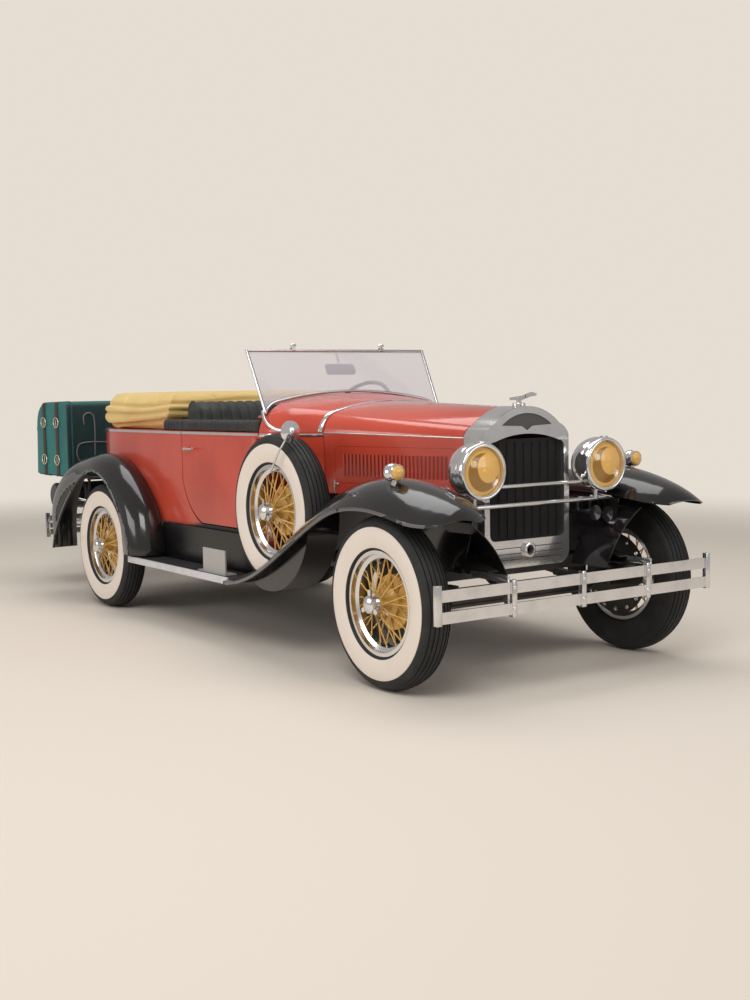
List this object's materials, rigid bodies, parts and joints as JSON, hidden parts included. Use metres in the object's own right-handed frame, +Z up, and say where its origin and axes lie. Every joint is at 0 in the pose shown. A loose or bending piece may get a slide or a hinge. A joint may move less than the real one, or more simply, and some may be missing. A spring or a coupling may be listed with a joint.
{
  "type": "two-seat open roadster",
  "caption": "Open two-seat car with wire wheels, sweeping fenders, twin spare wheels, folded top and a strapped trunk.",
  "frame": {"origin": "centre of the footprint's bounding box, on the ground", "axes": "-Y is the way the car drives, +X its left side, +Z up; wheels stand on Z = 0"},
  "size_m": [1.6988, 5.02, 1.5499],
  "materials": {
    "body_red": "gloss enamel",
    "fender_black": "gloss enamel",
    "chassis_black": "satin enamel",
    "chrome": "polished",
    "wheel_gold": "gloss enamel with chromed rim",
    "tyre": "black tread with cream sidewall",
    "engine_grey": "plain cast",
    "leather_dark": "pleated upholstery",
    "top_cloth": "woven top cloth",
    "trunk_teal": "covered boards with straps",
    "board_rubber": "ribbed",
    "lens_amber": "tinted lens",
    "clear_glass": "clear",
    "control_grey": "gloss"
  },
  "bodies": {
    "chassis": {"body_coaming": "leather_dark", "body_shell": "body_red", "chassis_frame": "chassis_black", "cowl": "body_red", "engine_block": "engine_grey", "exhaust": "engine_grey", "fender_lamps": "chrome", "floor_pan": "chassis_black", "folded_top": "top_cloth", "front_axle": "chassis_black", "front_bumper": "chrome", "front_fenders": "fender_black", "fuel_tank": "fender_black", "headlamp_lenses": "lens_amber", "headlamps": "chrome", "hood_ledges": "fender_black", "leaf_springs": "chassis_black", "luggage_rack": "fender_black", "radiator_core": "chassis_black", "radiator_shell": "chrome", "rear_axle": "chassis_black", "rear_bumper": "chrome", "rear_fenders": "fender_black", "running_boards": "board_rubber", "seat_back": "leather_dark", "seat_cushion": "leather_dark", "spare_mirrors": "chrome", "spare_tyres": "tyre", "spare_wheels": "wheel_gold", "steering_column": "chassis_black", "trunk": "trunk_teal", "windscreen_frame": "chrome", "windscreen_glass": "clear_glass"},
    "knuckle_left": {"knuckle_left": "chassis_black"},
    "wheel_front_left": {"wheel_front_left": "wheel_gold", "tyre_front_left": "tyre"},
    "wheel_rear_left": {"wheel_rear_left": "wheel_gold", "tyre_rear_left": "tyre"},
    "door_left": {"door_left": "body_red", "door_coaming_left": "leather_dark"},
    "hood_top_left": {"hood_top_left": "body_red"},
    "hood_side_left": {"hood_side_left": "body_red"},
    "knuckle_right": {"knuckle_right": "chassis_black"},
    "wheel_front_right": {"wheel_front_right": "wheel_gold", "tyre_front_right": "tyre"},
    "wheel_rear_right": {"wheel_rear_right": "wheel_gold", "tyre_rear_right": "tyre"},
    "door_right": {"door_right": "body_red", "door_coaming_right": "leather_dark"},
    "hood_top_right": {"hood_top_right": "body_red"},
    "hood_side_right": {"hood_side_right": "body_red"},
    "track_rod": {"track_rod": "chassis_black"},
    "steering_wheel": {"steering_wheel": "control_grey"}
  },
  "joints": [
    {"name": "knuckle_left_steer", "type": "hinge", "parent": "chassis", "child": "knuckle_left", "pos_m": [0.597, -2.05, 0.385], "axis": [0, 0, 1], "range_deg": [-28, 28]},
    {"name": "wheel_front_left_spin", "type": "hinge", "parent": "knuckle_left", "child": "wheel_front_left", "pos_m": [0.727, -2.05, 0.385], "axis": [1, 0, 0], "continuous": true},
    {"name": "wheel_rear_left_spin", "type": "hinge", "parent": "chassis", "child": "wheel_rear_left", "pos_m": [0.727, 0.94, 0.385], "axis": [1, 0, 0], "continuous": true},
    {"name": "door_left_hinge", "type": "hinge", "parent": "chassis", "child": "door_left", "pos_m": [0.616, -0.7185, 0.86], "axis": [0, 0, -1], "range_deg": [0, 65]},
    {"name": "hood_top_left_hinge", "type": "hinge", "parent": "chassis", "child": "hood_top_left", "pos_m": [0, -1.988, 1.22], "axis": [0, -0.9994, -0.0357], "range_deg": [0, 50]},
    {"name": "hood_side_left_hinge", "type": "hinge", "parent": "hood_top_left", "child": "hood_side_left", "pos_m": [0.25, -1.988, 1.0847], "axis": [-0.1988, -0.9798, -0.0197], "range_deg": [-12.5, 0]},
    {"name": "knuckle_right_steer", "type": "hinge", "parent": "chassis", "child": "knuckle_right", "pos_m": [-0.597, -2.05, 0.385], "axis": [0, 0, 1], "range_deg": [-28, 28]},
    {"name": "wheel_front_right_spin", "type": "hinge", "parent": "knuckle_right", "child": "wheel_front_right", "pos_m": [-0.727, -2.05, 0.385], "axis": [1, 0, 0], "continuous": true},
    {"name": "wheel_rear_right_spin", "type": "hinge", "parent": "chassis", "child": "wheel_rear_right", "pos_m": [-0.727, 0.94, 0.385], "axis": [1, 0, 0], "continuous": true},
    {"name": "door_right_hinge", "type": "hinge", "parent": "chassis", "child": "door_right", "pos_m": [-0.616, -0.7185, 0.86], "axis": [0, 0, 1], "range_deg": [0, 65]},
    {"name": "hood_top_right_hinge", "type": "hinge", "parent": "chassis", "child": "hood_top_right", "pos_m": [0, -1.988, 1.22], "axis": [0, 0.9994, 0.0357], "range_deg": [0, 50]},
    {"name": "hood_side_right_hinge", "type": "hinge", "parent": "hood_top_right", "child": "hood_side_right", "pos_m": [-0.25, -1.988, 1.0847], "axis": [-0.1988, 0.9798, 0.0197], "range_deg": [-12.5, 0]},
    {"name": "track_rod_pivot", "type": "hinge", "parent": "knuckle_left", "child": "track_rod", "pos_m": [0.597, -1.9, 0.372], "axis": [0, 0, 1], "range_deg": [-28, 28]},
    {"name": "steering_wheel_turn", "type": "hinge", "parent": "chassis", "child": "steering_wheel", "pos_m": [0.33, -0.311, 1.209], "axis": [0, 0.8194, 0.5732], "range_deg": [-364, 364]}
  ],
  "couplings": [
    {"joint": "knuckle_right_steer", "follows": "knuckle_left_steer", "ratio": 1},
    {"joint": "track_rod_pivot", "follows": "knuckle_left_steer", "ratio": -1},
    {"joint": "steering_wheel_turn", "follows": "knuckle_left_steer", "ratio": 13},
    {"joint": "hood_side_left_hinge", "follows": "hood_top_left_hinge", "ratio": -0.25},
    {"joint": "hood_side_right_hinge", "follows": "hood_top_right_hinge", "ratio": -0.25}
  ]
}
